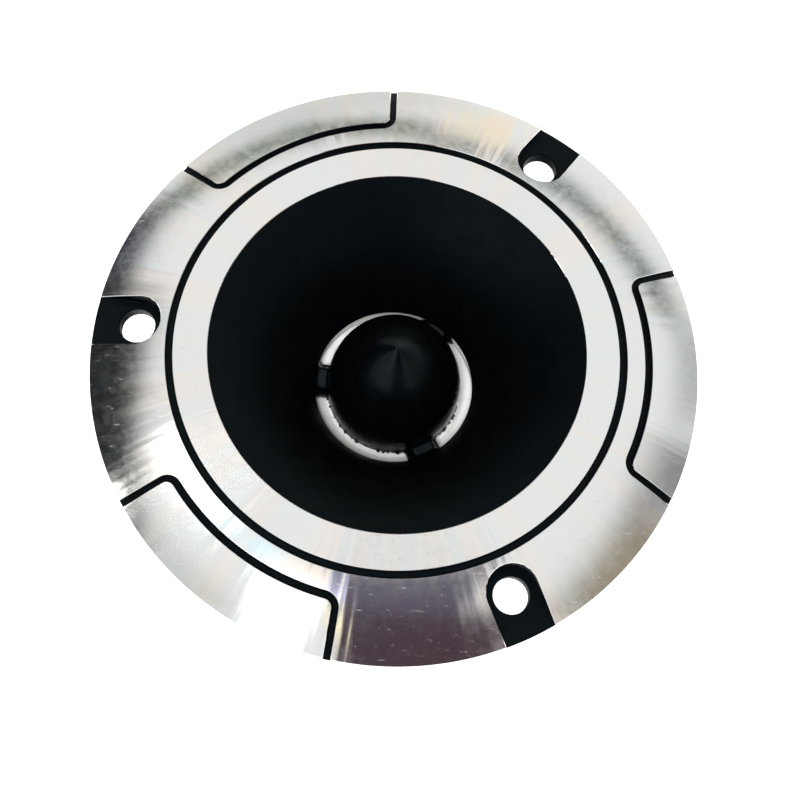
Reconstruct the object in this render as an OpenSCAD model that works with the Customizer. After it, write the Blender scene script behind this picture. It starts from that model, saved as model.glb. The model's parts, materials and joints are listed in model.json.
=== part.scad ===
// Horn-loaded car tweeter: a turned and painted aluminium horn with a bullet phase plug, in front of
// a one-inch dome on a ring magnet. The origin is the centre of the flange's back face, which rests
// on the baffle. +Z points out of the horn's mouth, and one of the three marked windows of the flange
// points along +X.

/* [Flange] */
// Outside diameter of the flange
flange_d = 104; // [102:1:108]
// Thickness of the flange at its rim
rim_t = 2.6; // [2.4:0.1:3]
// Height of the horn's mouth above the edge of the rim
crown_h = 4; // [3.6:0.1:4.4]
// Diameter of the circle through the mounting holes
bolt_circle_d = 89.5; // [88.5:0.5:91]
// Diameter of a mounting hole
bolt_hole_d = 6; // [5:0.5:6.5]
// Width of the recess around a mounting hole
recess_w = 8.7; // [8.2:0.1:9.2]
// Depth of a recess's floor below the edge of the rim
recess_drop = 0.3; // [0.2:0.1:0.6]

/* [Grooves] */
// Width of the painted grooves
groove_w = 1.25; // [1:0.05:1.5]
// Depth of the painted grooves
groove_depth = 0.7; // [0.5:0.1:0.9]
// Inside radius of the round groove
ring_groove_r = 37.5; // [36.5:0.25:38]
// Inside radius of the arcs of the three windows
window_r = 42; // [41:0.25:43]
// Half the angle between the legs of a window, at the rim
window_half_angle = 23.65; // [20:0.05:27]

/* [Horn] */
// Diameter of the horn's mouth
mouth_d = 63.5; // [62:0.5:65]
// Diameter of the horn's throat
throat_d = 29.6; // [29.2:0.1:30]
// Depth of the throat below the mouth
horn_depth = 21.7; // [21:0.1:22.5]
// Angle of the wall at the throat, from the axis
throat_angle = 20; // [16:1:24]
// Diameter of the body behind the flange
body_d = 76; // [74:1:78]

/* [Phase plug] */
// Largest diameter of the plug
plug_d = 24.8; // [24.4:0.1:25]
// Height of the plug's point above the edge of the rim
plug_tip_h = 3; // [1:0.5:3.5]
// Width of a web that holds the plug
web_w = 6.2; // [5:0.2:7]

/* [Diaphragm] */
// Inside diameter of the voice-coil former
coil_d = 25.3; // [25.3:0.1:25.5]
// Height of the dome
dome_h = 4.2; // [4:0.1:4.4]
// Width of the surround's roll
roll_w = 2.7; // [2.5:0.1:2.8]

/* [Motor] */
// Outside diameter of the ring magnet
magnet_d = 60; // [56:1:61]
// Thickness of the ring magnet
magnet_t = 12; // [10:1:16]
// Thickness of the top plate
top_plate_t = 4; // [3.6:0.2:4.4]
// Thickness of the back plate
back_plate_t = 4; // [3:0.5:5]
// Diameter of the circle through the motor screws
screw_circle_d = 68.6; // [68:0.2:69]

/* [Hidden] */
$fn = 96;
eps = 0.5;
arc_steps = 12;

// Flange
flange_r = flange_d / 2;
mouth_r = mouth_d / 2;
throat_r = throat_d / 2;
mouth_z = rim_t + crown_h;
recess_z = rim_t - recess_drop;
land_drop = 0.08;
ring_groove_out_r = ring_groove_r + groove_w;
face_top_z = mouth_z - 0.2;
face_top_slope = 7.7;
thirds = [60, 180, 300];
windows = [0, 120, 240];
window_corner_r = 2;
leg_drift = 0.6;

// Horn and body
throat_z = mouth_z - horn_depth;
body_r = body_d / 2;
plug_seat_z = throat_z - 1.6;
plug_seat_r = 17.5;
plug_ring_r = 16;
undercut = 1.2;
horn_back_z = plug_seat_z - 1.8;
ring_seat_r = 30.3;
hollow_r = 24.3;
hollow_z = -4;

// Diaphragm ring, and the plate that it rests on
gasket_t = 0.4;
ring_top_z = horn_back_z - gasket_t;
ring_t = 2.1;
plate_z = ring_top_z - ring_t;
lip_z = ring_top_z - 1.2;
lip_t = 0.25;
lip_w = 1.8;
lug_half_w = 10;
lug_x = ring_seat_r - 3;
lug_notch_h = 1;
lug_gap = 0.3;
wire_groove_w = 1;
wire_groove_h = 0.65;

// Diaphragm
former_r = coil_d / 2;
former_t = 0.15;
skirt_r = former_r + former_t;
winding_t = 0.3;
winding_h = 2.6;
dome_t = 0.2;
dome_r = (skirt_r * skirt_r + dome_h * dome_h) / (2 * dome_h);
dome_centre_z = lip_z + dome_h - dome_r;
roll_r = roll_w / 2;
roll_mid_r = skirt_r + 0.15 + roll_r;
roll_out_r = roll_mid_r + roll_r;
crest_to_end = 0.6;
crest_r = roll_out_r - crest_to_end;
plug_gap = 0.7;

// Motor
top_plate_r = body_r - 0.4;
gap_clearance = 0.3;
plate_bore_r = skirt_r + winding_t + gap_clearance;
pole_r = former_r - gap_clearance;
pole_spigot_r = 8;
magnet_z = plate_z - top_plate_t;
back_z = magnet_z - magnet_t;
magnet_bore_r = 16.5;
back_plate_r = magnet_d / 2 - 1;
chamber_r = 8;
chamber_depth = 7;
felt_t = 3;
edge = 0.3;
magnet_edge = 0.8;
back_edge = 0.6;
notch_x = 31.4;
notch_half_w = 9;

// Screws and terminals
screw_r = 1.5;
screw_len = 12.5;
screw_head_r = 2.9;
screw_head_h = 2;
screw_hole_gap = 0.2;
screw_slot = [3.2, 0.7, 1.1];
washer_t = 0.7;
washer_split = 0.3;
terminal_y = 5.6;
tab_t = 0.8;
tab_x = 36;
foot_x = 32.1;
tab_len = 12.5;
tab_point = [0.8, 1];
tab_hole_from_end = 3.6;
rivet_x = 34.5;
rivet_r = 1.2;
rivet_head_r = 1.4;
rivet_head_t = 0.5;
wire_r = 0.2;
wire_z = plate_z + 0.3;
wire_drop_x = 31.8;
solder_r = 0.45;
solder_x = 32.6;
// Each terminal: its side of the lug and its width
terminals = [[1, 4.8], [-1, 2.8]];

// Points of a circular arc about [x, y], from angle a to angle b
function arc(x, y, r, a, b, steps = arc_steps) =
    [for (i = [0:steps]) let (t = a + (b - a) * i / steps) [x + r * cos(t), y + r * sin(t)]];

// The convex face outside the round groove is one arc, from the groove down to the rim
face_chord = [flange_r - ring_groove_out_r, rim_t - face_top_z];
face_chord_len = norm(face_chord);
face_turn = 2 * (atan2(-face_chord[1], face_chord[0]) - face_top_slope);
face_r = face_chord_len / (2 * sin(face_turn / 2));
face_x = ring_groove_out_r - face_r * sin(face_top_slope);
face_z = face_top_z - face_r * cos(face_top_slope);
function face_arc(drop) =
    arc(face_x, face_z - drop, face_r, 90 - face_top_slope - face_turn, 90 - face_top_slope);

// The flare is one arc that meets the throat at throat_angle
flare_chord = [mouth_r - throat_r, mouth_z - throat_z];
flare_turn = 2 * (atan2(flare_chord[0], flare_chord[1]) - throat_angle);
flare_r = norm(flare_chord) / (2 * sin(flare_turn / 2));
flare_x = throat_r + flare_r * cos(throat_angle);
flare_z = throat_z - flare_r * sin(throat_angle);

// The plug is a pointed ogive above a short straight side
plug_r = plug_d / 2;
plug_side_z = throat_z + 0.2;
plug_foot_z = plug_seat_z - 1.5;
web_z = plug_seat_z - 1.3;
web_top_z = throat_z + 0.1;
tip_z = rim_t + plug_tip_h;
ogive_h = tip_z - plug_side_z;
ogive_r = (plug_r * plug_r + ogive_h * ogive_h) / (2 * plug_r);
ogive_angle = asin(ogive_h / ogive_r);
underside_r = dome_r + plug_gap;
underside_angle = acos((plug_foot_z - dome_centre_z) / underside_r);

module at_each(angles) {
    for (a = angles) rotate(a) children();
}

// Outline of the area that a window's groove goes round; side moves the outline out of the area
module window_area(side) {
    r = window_r + groove_w / 2 - side;
    corner = window_corner_r + side;
    lean = asin(side / flange_r);
    a = window_half_angle + lean;
    corner_a = a - asin(corner / (r + corner)) - leg_drift;
    corner_points = leg_round(r, corner, corner_a);
    polygon(concat(
        arc(0, 0, flange_r + 2, -a, a),
        corner_points,
        arc(0, 0, r, corner_a, -corner_a),
        [for (i = [arc_steps:-1:0]) [corner_points[i][0], -corner_points[i][1]]]
    ));
}

// The rounded corner where a window's arc turns into its leg
function leg_round(r, corner, a) =
    arc((r + corner) * cos(a), (r + corner) * sin(a), corner, a + 90, a + 180);

module face_groove_band() {
    rotate_extrude()
        polygon(concat(face_arc(groove_depth), [[ring_groove_r, mouth_z + 1], [flange_r + 1, mouth_z + 1],
            [flange_r + 1, rim_t - groove_depth]]));
}

module horn_flange() {
    color("silver")
    difference() {
        rotate_extrude()
            polygon(concat(
                [[body_r, 0], [flange_r, 0]],
                face_arc(0),
                [[ring_groove_out_r, face_top_z - groove_depth], [ring_groove_r, face_top_z - groove_depth],
                 [ring_groove_r, mouth_z - land_drop]],
                arc(flare_x, flare_z, flare_r, 180 - throat_angle - flare_turn, 180 - throat_angle, 16),
                [[throat_r + undercut, plug_seat_z], [plug_seat_r, plug_seat_z], [plug_seat_r, horn_back_z],
                 [hollow_r, horn_back_z], [hollow_r, hollow_z], [ring_seat_r, hollow_z],
                 [ring_seat_r, plate_z], [body_r, plate_z]]
            ));
        at_each(thirds) {
            mounting_recess();
            translate([screw_circle_d / 2, 0, plate_z - eps])
                cylinder(r = screw_r, h = screw_len - top_plate_t - washer_t + 1 + eps);
        }
        intersection() {
            face_groove_band();
            at_each(windows)
                linear_extrude(mouth_z + 1)
                    difference() {
                        window_area(groove_w / 2);
                        window_area(-groove_w / 2);
                    }
        }
        translate([lug_x, -lug_half_w - lug_gap, plate_z - eps])
            cube([body_r, 2 * (lug_half_w + lug_gap), ring_t + lug_notch_h + eps]);
    }
}

// A recess with a round inner end, open at the rim, and the mounting hole in its floor
module mounting_recess() {
    end_x = bolt_circle_d / 2 - 0.35;
    translate([end_x, 0, recess_z])
        cylinder(d = recess_w, h = mouth_z);
    translate([end_x, -recess_w / 2, recess_z])
        cube([flange_r, recess_w, mouth_z]);
    translate([bolt_circle_d / 2, 0, -eps])
        cylinder(d = bolt_hole_d, h = rim_t + 2 * eps);
}

module phase_plug() {
    color("#15181a") {
        rotate_extrude()
            polygon(concat(
                arc(plug_r - ogive_r, plug_side_z, ogive_r, ogive_angle, 0),
                [[plug_r, plug_seat_z], [plug_r - 0.2, plug_foot_z]],
                arc(0, dome_centre_z, underside_r, 90 - underside_angle, 90)
            ));
        at_each(thirds)
            plug_web();
        tube(plug_seat_r, plug_ring_r, horn_back_z, plug_seat_z);
    }
}

// A web runs from the plug out to the ring, and its top part stays inside the throat
module plug_web() {
    start_r = plug_r - 0.6;
    translate([start_r, -web_w / 2, web_z])
        cube([plug_ring_r + eps - start_r, web_w, plug_seat_z - web_z]);
    intersection() {
        translate([start_r, -web_w / 2, web_z])
            cube([throat_r, web_w, web_top_z - web_z]);
        translate([0, 0, web_z - eps])
            cylinder(r = throat_r - 0.1, h = web_top_z - web_z + 2 * eps);
    }
}

// A plain ring between two radii and two heights
module tube(r_out, r_in, z_low, z_high) {
    translate([0, 0, z_low])
        difference() {
            cylinder(r = r_out, h = z_high - z_low);
            translate([0, 0, -eps])
                cylinder(r = r_in, h = z_high - z_low + 2 * eps);
        }
}

module throat_gasket() {
    color("dimgray")
        tube(hollow_r, plug_seat_r - 1.2, ring_top_z, horn_back_z);
}

module dome() {
    open_angle = asin(skirt_r / dome_r);
    inner_r = dome_r - dome_t;
    inner_angle = acos((lip_z - dome_centre_z) / inner_r);
    color("lightgray")
        rotate_extrude()
            polygon(concat(
                arc(0, dome_centre_z, dome_r, 90 - open_angle, 90),
                arc(0, dome_centre_z, inner_r, 90, 90 - inner_angle)
            ));
}

// Section of the surround's roll: it climbs slowly from the dome to its crest, and drops to the ring.
// under is how far the line lies below the upper surface.
function roll_line(under, a, b) = [
    for (p = arc(0, 0, 1, a, b))
        [crest_r + p[0] * ((p[0] < 0 ? roll_w - crest_to_end : crest_to_end) - under),
         lip_z + p[1] * (roll_r - under)]
];

module surround() {
    color("#e6e2d8")
        rotate_extrude()
            polygon(concat(
                [[skirt_r + 0.02, lip_z], [skirt_r + 0.02, lip_z + lip_t]],
                [for (p = roll_line(0, 180, 0)) if (p[1] > lip_z + lip_t) p],
                [[roll_out_r + lip_w, lip_z + lip_t], [roll_out_r + lip_w, lip_z]],
                roll_line(lip_t, 0, 180)
            ));
}

module coil_former() {
    color("#c8a878")
        tube(skirt_r, former_r, plate_z - top_plate_t / 2 - winding_h / 2 - 0.4, lip_z);
}

module voice_coil() {
    mid_z = plate_z - top_plate_t / 2;
    color("#b5651d")
        tube(skirt_r + winding_t, skirt_r, mid_z - winding_h / 2, mid_z + winding_h / 2);
}

module diaphragm_ring() {
    outer_r = ring_seat_r - 0.3;
    color("#202224")
    difference() {
        union() {
            tube(outer_r, roll_out_r + 0.2, plate_z, ring_top_z);
            intersection() {
                translate([lug_x, -lug_half_w, plate_z])
                    cube([body_r, 2 * lug_half_w, ring_t]);
                tube(body_r, lug_x, plate_z, ring_top_z);
            }
        }
        translate([0, 0, lip_z])
            cylinder(r = roll_out_r + lip_w + 0.1, h = ring_t);
        for (side = [-1, 1]) {
            translate([roll_mid_r, side * terminal_y - wire_groove_w / 2, plate_z - eps])
                cube([wire_drop_x + 0.4 - roll_mid_r, wire_groove_w, wire_groove_h + eps]);
            translate([rivet_x, side * terminal_y, plate_z - eps])
                cylinder(r = rivet_r, h = ring_t + 2 * eps);
        }
    }
}

// A lead from the coil, along its groove, and down to the foot of its terminal
module lead_wire(side) {
    start_x = sqrt(pow(skirt_r + 0.06, 2) - pow(terminal_y - wire_r, 2)) + 0.1;
    end_z = plate_z - tab_t - wire_r;
    color("#b87333")
    translate([0, side * terminal_y, 0]) {
        translate([start_x, 0, wire_z])
            rotate([0, 90, 0])
                cylinder(r = wire_r, h = wire_drop_x - start_x, $fn = 24);
        translate([wire_drop_x, 0, wire_z])
            sphere(r = wire_r, $fn = 24);
        translate([wire_drop_x, 0, end_z])
            cylinder(r = wire_r, h = wire_z - end_z, $fn = 24);
        translate([wire_drop_x, 0, end_z])
            sphere(r = wire_r, $fn = 24);
        translate([wire_drop_x, 0, end_z])
            rotate([0, 90, 0])
                cylinder(r = wire_r, h = solder_x - wire_drop_x, $fn = 24);
    }
}

module lead_wire_positive() {
    lead_wire(1);
}

module lead_wire_negative() {
    lead_wire(-1);
}

// A push-on tab: a foot riveted under the ring's lug, and a blade that points backwards
module terminal(side, width) {
    color("#d8d4c4")
    translate([0, side * terminal_y, plate_z])
        difference() {
            union() {
                translate([foot_x, -width / 2 - 0.01, -tab_t])
                    cube([tab_x + tab_t - foot_x, width + 0.02, tab_t]);
                translate([tab_x, 0, 0])
                    rotate([90, 0, 90])
                        linear_extrude(tab_t)
                            polygon([[-width / 2, 0], [width / 2, 0], [width / 2, tab_point[1] - tab_len],
                                [width / 2 - tab_point[0], -tab_len], [tab_point[0] - width / 2, -tab_len],
                                [-width / 2, tab_point[1] - tab_len]]);
            }
            translate([rivet_x, 0, -tab_t - eps])
                cylinder(r = rivet_r, h = tab_t + 2 * eps);
            translate([tab_x - eps, 0, tab_hole_from_end - tab_len])
                rotate([0, 90, 0])
                    cylinder(d = width / 3, h = tab_t + 2 * eps, $fn = 32);
        }
}

module terminal_positive() {
    terminal(terminals[0][0], terminals[0][1]);
}

module terminal_negative() {
    terminal(terminals[1][0], terminals[1][1]);
}

module terminal_rivets() {
    color("#cfc9b0")
    for (t = terminals)
        translate([rivet_x, t[0] * terminal_y, plate_z - tab_t]) {
            cylinder(r = rivet_r, h = tab_t + ring_t);
            translate([0, 0, -rivet_head_t])
                cylinder(r1 = rivet_head_r - 0.3, r2 = rivet_head_r, h = rivet_head_t);
            translate([0, 0, tab_t + ring_t])
                cylinder(r1 = rivet_head_r + 0.4, r2 = rivet_head_r, h = rivet_head_t);
        }
}

module solder_joints() {
    color("#c9ccd0")
    for (t = terminals)
        translate([solder_x, t[0] * terminal_y, plate_z - tab_t])
            difference() {
                sphere(r = solder_r, $fn = 32);
                translate([-1, -1, 0])
                    cube(2);
                translate([-1, 0, -wire_r])
                    rotate([0, 90, 0])
                        cylinder(r = wire_r, h = 1, $fn = 24);
            }
}

module top_plate() {
    color("#b9bcc0")
    difference() {
        rotate_extrude()
            polygon([
                [plate_bore_r, plate_z], [top_plate_r - edge, plate_z], [top_plate_r, plate_z - edge],
                [top_plate_r, magnet_z + edge], [top_plate_r - edge, magnet_z], [plate_bore_r, magnet_z]
            ]);
        at_each(thirds)
            translate([screw_circle_d / 2, 0, magnet_z - eps])
                cylinder(r = screw_r + screw_hole_gap, h = top_plate_t + 2 * eps);
        translate([notch_x, -notch_half_w, magnet_z - eps])
            cube([body_r, 2 * notch_half_w, top_plate_t + 2 * eps]);
    }
}

module ring_magnet() {
    outer_r = magnet_d / 2;
    color("#35363a")
        rotate_extrude()
            polygon([
                [magnet_bore_r, magnet_z], [outer_r - magnet_edge, magnet_z],
                [outer_r, magnet_z - magnet_edge], [outer_r, back_z + magnet_edge],
                [outer_r - magnet_edge, back_z], [magnet_bore_r, back_z]
            ]);
}

module back_plate() {
    color("#b9bcc0")
        rotate_extrude()
            polygon([
                [pole_spigot_r, back_z], [back_plate_r, back_z],
                [back_plate_r, back_z - back_plate_t + back_edge],
                [back_plate_r - back_edge, back_z - back_plate_t], [pole_spigot_r, back_z - back_plate_t]
            ]);
}

module pole_piece() {
    color("#a9acb0")
    difference() {
        union() {
            translate([0, 0, back_z])
                cylinder(r = pole_r, h = plate_z - back_z);
            translate([0, 0, back_z - back_plate_t])
                cylinder(r = pole_spigot_r, h = back_plate_t + eps);
        }
        translate([0, 0, plate_z - chamber_depth])
            cylinder(r = chamber_r, h = chamber_depth + eps);
    }
}

module felt_pad() {
    color("#8c8a84")
        translate([0, 0, plate_z - chamber_depth])
            cylinder(r = chamber_r - 0.05, h = felt_t);
}

module motor_screws() {
    head_z = magnet_z - washer_t;
    color("#3a3b3d")
    at_each(thirds)
        translate([screw_circle_d / 2, 0, head_z]) {
            cylinder(r = screw_r, h = screw_len);
            difference() {
                translate([0, 0, -screw_head_h])
                    cylinder(r1 = screw_head_r - 0.6, r2 = screw_head_r, h = screw_head_h);
                for (a = [0, 90])
                    rotate(a)
                        translate([-screw_slot[0] / 2, -screw_slot[1] / 2, -screw_head_h - eps])
                            cube(screw_slot + [0, 0, eps]);
            }
        }
}

// Split washers under the heads of the motor screws
module lock_washers() {
    color("#d0d2d4")
    at_each(thirds)
        translate([screw_circle_d / 2, 0, 0])
            difference() {
                tube(screw_head_r - 0.1, screw_r + 0.1, magnet_z - washer_t, magnet_z);
                rotate(35)
                    translate([0, -washer_split / 2, magnet_z - washer_t - eps])
                        cube([screw_head_r + 1, washer_split, washer_t + 2 * eps]);
            }
}

horn_flange();
phase_plug();
throat_gasket();
dome();
surround();
coil_former();
voice_coil();
diaphragm_ring();
lead_wire_positive();
lead_wire_negative();
terminal_positive();
terminal_negative();
terminal_rivets();
solder_joints();
top_plate();
ring_magnet();
back_plate();
pole_piece();
felt_pad();
motor_screws();
lock_washers();
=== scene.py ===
import json
import math

import bmesh
import bpy
from mathutils import Matrix, Vector, noise
from mathutils.geometry import delaunay_2d_cdt

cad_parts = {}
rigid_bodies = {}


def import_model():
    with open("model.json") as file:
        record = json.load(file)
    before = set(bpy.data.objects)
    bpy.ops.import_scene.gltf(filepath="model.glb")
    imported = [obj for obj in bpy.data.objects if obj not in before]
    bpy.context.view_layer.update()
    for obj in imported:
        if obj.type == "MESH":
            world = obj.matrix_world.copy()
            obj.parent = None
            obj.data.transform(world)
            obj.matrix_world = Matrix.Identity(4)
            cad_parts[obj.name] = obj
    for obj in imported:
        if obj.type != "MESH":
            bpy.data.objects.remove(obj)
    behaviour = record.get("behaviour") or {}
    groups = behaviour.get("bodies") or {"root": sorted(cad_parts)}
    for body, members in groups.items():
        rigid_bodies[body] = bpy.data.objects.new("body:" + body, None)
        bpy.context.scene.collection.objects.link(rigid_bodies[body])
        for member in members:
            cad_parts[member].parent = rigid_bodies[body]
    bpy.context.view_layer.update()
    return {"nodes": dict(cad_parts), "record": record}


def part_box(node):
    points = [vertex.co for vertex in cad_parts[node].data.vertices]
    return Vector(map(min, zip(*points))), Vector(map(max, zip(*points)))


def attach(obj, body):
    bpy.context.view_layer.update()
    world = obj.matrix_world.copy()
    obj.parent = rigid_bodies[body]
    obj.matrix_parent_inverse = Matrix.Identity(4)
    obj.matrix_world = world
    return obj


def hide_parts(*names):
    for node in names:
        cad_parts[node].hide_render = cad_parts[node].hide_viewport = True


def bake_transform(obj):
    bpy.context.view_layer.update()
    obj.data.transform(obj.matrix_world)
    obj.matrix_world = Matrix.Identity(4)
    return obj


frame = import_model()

# Lengths below are in millimetres, and MM turns them into metres
MM = 0.001

# -------- sizes, from the frame and the design
mounts = {m["name"]: m for m in frame["record"]["mounts"]}
_, horn_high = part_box("horn_flange")
_, plug_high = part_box("phase_plug")
surround_low, surround_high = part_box("surround")
_, plate_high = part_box("top_plate")
back_low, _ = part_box("back_plate")

# The flange and its holes
FLANGE_R = horn_high.x / MM
MOUTH_Z = horn_high.z / MM
HOLE_AT = mounts["flange_bolts"]["dims"]["pcd_mm"] / 2
HOLE_R = mounts["flange_bolts"]["dims"]["hole_r_mm"]
HOLE_CHAMFER = 0.15
RIM_T = 2.6
RECESS_HALF = 4.35
RECESS_AT = HOLE_AT - 0.35
RECESS_Z = RIM_T - 0.3
SIXTH = math.radians(60)
THIRDS = [math.radians(a) for a in (60, 180, 300)]

# The bright face: a nearly flat land round the mouth, then a convex arc
LAND_DROP = 0.08
FACE_TOP_Z = MOUTH_Z - 0.2
FACE_TOP_SLOPE = math.radians(7.7)

# The painted grooves: one ring, and three windows open to the rim
GROOVE_IN = 37.5
GROOVE_W = 1.25
GROOVE_OUT = GROOVE_IN + GROOVE_W
GROOVE_DEPTH = 0.7
WINDOW_R = 42.0
WINDOW_HALF = math.radians(23.65)
LEG_DRIFT = math.radians(0.6)
WINDOW_CORNER = 2.0
WINDOWS = [math.radians(a) for a in (0, 120, 240)]

# The bevel of sharp edges, and the fillet along the floors of grooves and recesses
EDGE = 0.09
FLOOR_FILLET = 0.28
FILLET_RISE = FLOOR_FILLET * 0.7

# The back of the flange ends inside the rim's bevel
BACK_R = FLANGE_R - EDGE * 2
BACK_SCALE = BACK_R / FLANGE_R

# The flare, the plug's seat and the body behind the flange
MOUTH_R = 31.75
THROAT_R = 14.8
THROAT_Z = MOUTH_Z - 21.7
THROAT_ANGLE = math.radians(20)
THROAT_UNDERCUT = 1.2
SEAT_Z = THROAT_Z - 1.6
SEAT_R = 17.5
HORN_BACK_Z = SEAT_Z - 1.8
BODY_R = mounts["body_spigot"]["dims"]["r_mm"]
PLATE_Z = plate_high.z / MM
HOLLOW_R = 24.3
HOLLOW_Z = -4.0
RING_SEAT_R = 30.3
SCREW_AT = 34.3
SCREW_R = 1.5

# How finely round shapes are cut
TURNS = 360
HOLE_STEPS = 64
SCREW_STEPS = 32
PLUG_STEPS = 480
PLUG_RING_STEPS = 240

# Cutters and open lines run this far past what they cut
PAST_RIM = 1.5
PAST_CUT = 1.0

# Two radii closer than this are the same edge
TOUCH = 0.01


# -------- mesh helpers
def make_object(name, mesh):
    obj = bpy.data.objects.new(name, mesh)
    bpy.context.scene.collection.objects.link(obj)
    return obj


def mesh_from(name, points, faces):
    """A mesh from points in millimetres."""
    mesh = bpy.data.meshes.new(name)
    mesh.from_pydata([(x * MM, y * MM, z * MM) for x, y, z in points], [], faces)
    mesh.update()
    return mesh


def apply_modifiers(obj):
    depsgraph = bpy.context.evaluated_depsgraph_get()
    mesh = bpy.data.meshes.new_from_object(obj.evaluated_get(depsgraph))
    obj.modifiers.clear()
    obj.data = mesh
    return obj


def smooth(obj, degrees):
    """Smooth shading, with edges sharper than the angle kept."""
    obj.data.shade_smooth()
    obj.data.set_sharp_from_angle(angle=math.radians(degrees))
    return obj


def arc(cx, cy, radius, start, end, steps):
    return [
        (cx + radius * math.cos(start + (end - start) * i / steps),
         cy + radius * math.sin(start + (end - start) * i / steps))
        for i in range(steps + 1)
    ]


def circle_points(r, cx=0.0, cy=0.0, steps=TURNS):
    return arc(cx, cy, r, 0, 2 * math.pi, steps)[:-1]


def turn(point, angle):
    c, s = math.cos(angle), math.sin(angle)
    return (point[0] * c - point[1] * s, point[0] * s + point[1] * c)


def ease(value, low, high):
    """0 below low, 1 above high, and a smooth climb between them."""
    t = min(1.0, max(0.0, (value - low) / (high - low)))
    return t * t * (3 - 2 * t)


def turned_points(profile, rings, steps, start, end):
    """Points of a solid of revolution, and their indices ring by ring; on the axis a ring is one point."""
    on_axis = 1e-6
    points, index = [], []
    for r, z in profile:
        if r < on_axis:
            index.append([len(points)] * rings)
            points.append((0, 0, z))
            continue
        index.append(list(range(len(points), len(points) + rings)))
        for i in range(rings):
            a = start + (end - start) * i / steps
            points.append((r * math.cos(a), r * math.sin(a), z))
    return points, index


def lathe(name, profile, steps=TURNS, start=0.0, end=2 * math.pi, closed=True):
    """A solid of revolution about Z from (r, z) points; closed joins the last point to the first."""
    full = end - start > 2 * math.pi - 1e-6
    rings = steps if full else steps + 1
    points, index = turned_points(profile, rings, steps, start, end)
    pairs = list(zip(index, index[1:]))
    if closed:
        pairs.append((index[-1], index[0]))
    faces = []
    for low, high in pairs:
        for i in range(steps):
            j = (i + 1) % rings
            ids = [low[i], low[j], high[j], high[i]]
            face = [v for n, v in enumerate(ids) if v != ids[n - 1]]
            if len(face) > 2:
                faces.append(face)
    if not full:
        faces += [[ring[0] for ring in index], [ring[-1] for ring in index]]
    return fix_normals(make_object(name, mesh_from(name, points, faces)))


def fix_normals(obj):
    """Merges points that coincide, and turns every face outwards."""
    same_point = 2e-7
    bm = bmesh.new()
    bm.from_mesh(obj.data)
    bmesh.ops.remove_doubles(bm, verts=bm.verts, dist=same_point)
    bmesh.ops.recalc_face_normals(bm, faces=bm.faces)
    bm.to_mesh(obj.data)
    bm.free()
    return obj


def prism(name, outline, low, high):
    """A straight extrusion of a closed outline between two heights."""
    n = len(outline)
    points = [(x, y, low) for x, y in outline] + [(x, y, high) for x, y in outline]
    faces = [list(range(n))[::-1], list(range(n, 2 * n))]
    faces += [[i, (i + 1) % n, n + (i + 1) % n, n + i] for i in range(n)]
    return fix_normals(make_object(name, mesh_from(name, points, faces)))


def combine(obj, others, operation):
    """Joins other objects to one, or cuts them from it, and removes them."""
    for other in others:
        mod = obj.modifiers.new(operation, "BOOLEAN")
        mod.operation = operation
        mod.solver = "EXACT"
        mod.object = other
    apply_modifiers(obj)
    for other in others:
        bpy.data.objects.remove(other)
    return obj


def triangulate(loops, lines, extra, region_of):
    """Triangles of the plane with the loops and lines as edges, and the region that each one is in."""
    whole_plane, merge = 0, 1e-5
    points, edges = [], []
    for group, closed in [(g, True) for g in loops] + [(g, False) for g in lines]:
        first = len(points)
        points += group
        edges += [(first + i, first + i + 1) for i in range(len(group) - 1)]
        if closed:
            edges.append((len(points) - 1, first))
    points += extra
    flat = [Vector(p) for p in points]
    verts, _, faces, _, _, _ = delaunay_2d_cdt(flat, edges, [], whole_plane, merge)
    kept = []
    for face in faces:
        cx = sum(verts[v].x for v in face) / len(face)
        cy = sum(verts[v].y for v in face) / len(face)
        region = region_of(cx, cy)
        if region:
            kept.append((tuple(face), region))
    return [(v.x, v.y) for v in verts], kept


# -------- the face of the flange
face_run = FLANGE_R - GROOVE_OUT
face_fall = FACE_TOP_Z - RIM_T
face_turn = 2 * (math.atan2(face_fall, face_run) - FACE_TOP_SLOPE)
face_radius = math.hypot(face_run, face_fall) / (2 * math.sin(face_turn / 2))
face_centre_r = GROOVE_OUT - face_radius * math.sin(FACE_TOP_SLOPE)
face_centre_z = FACE_TOP_Z - face_radius * math.cos(FACE_TOP_SLOPE)


def face_height(r):
    """Height of the bright face at radius r: a nearly flat land, then a convex arc to the rim."""
    if r <= GROOVE_IN + GROOVE_W / 2:
        return MOUTH_Z - LAND_DROP * (r - MOUTH_R) / (GROOVE_IN - MOUTH_R)
    return face_centre_z + math.sqrt(face_radius ** 2 - (r - face_centre_r) ** 2)


def face_normal(x, y):
    """The true normal of the bright face over a point."""
    r = math.hypot(x, y)
    if r <= GROOVE_IN + GROOVE_W / 2:
        slope = math.atan2(LAND_DROP, GROOVE_IN - MOUTH_R)
    else:
        slope = math.asin((r - face_centre_r) / face_radius)
    return Vector((x / r * math.sin(slope), y / r * math.sin(slope), math.cos(slope)))


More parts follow.
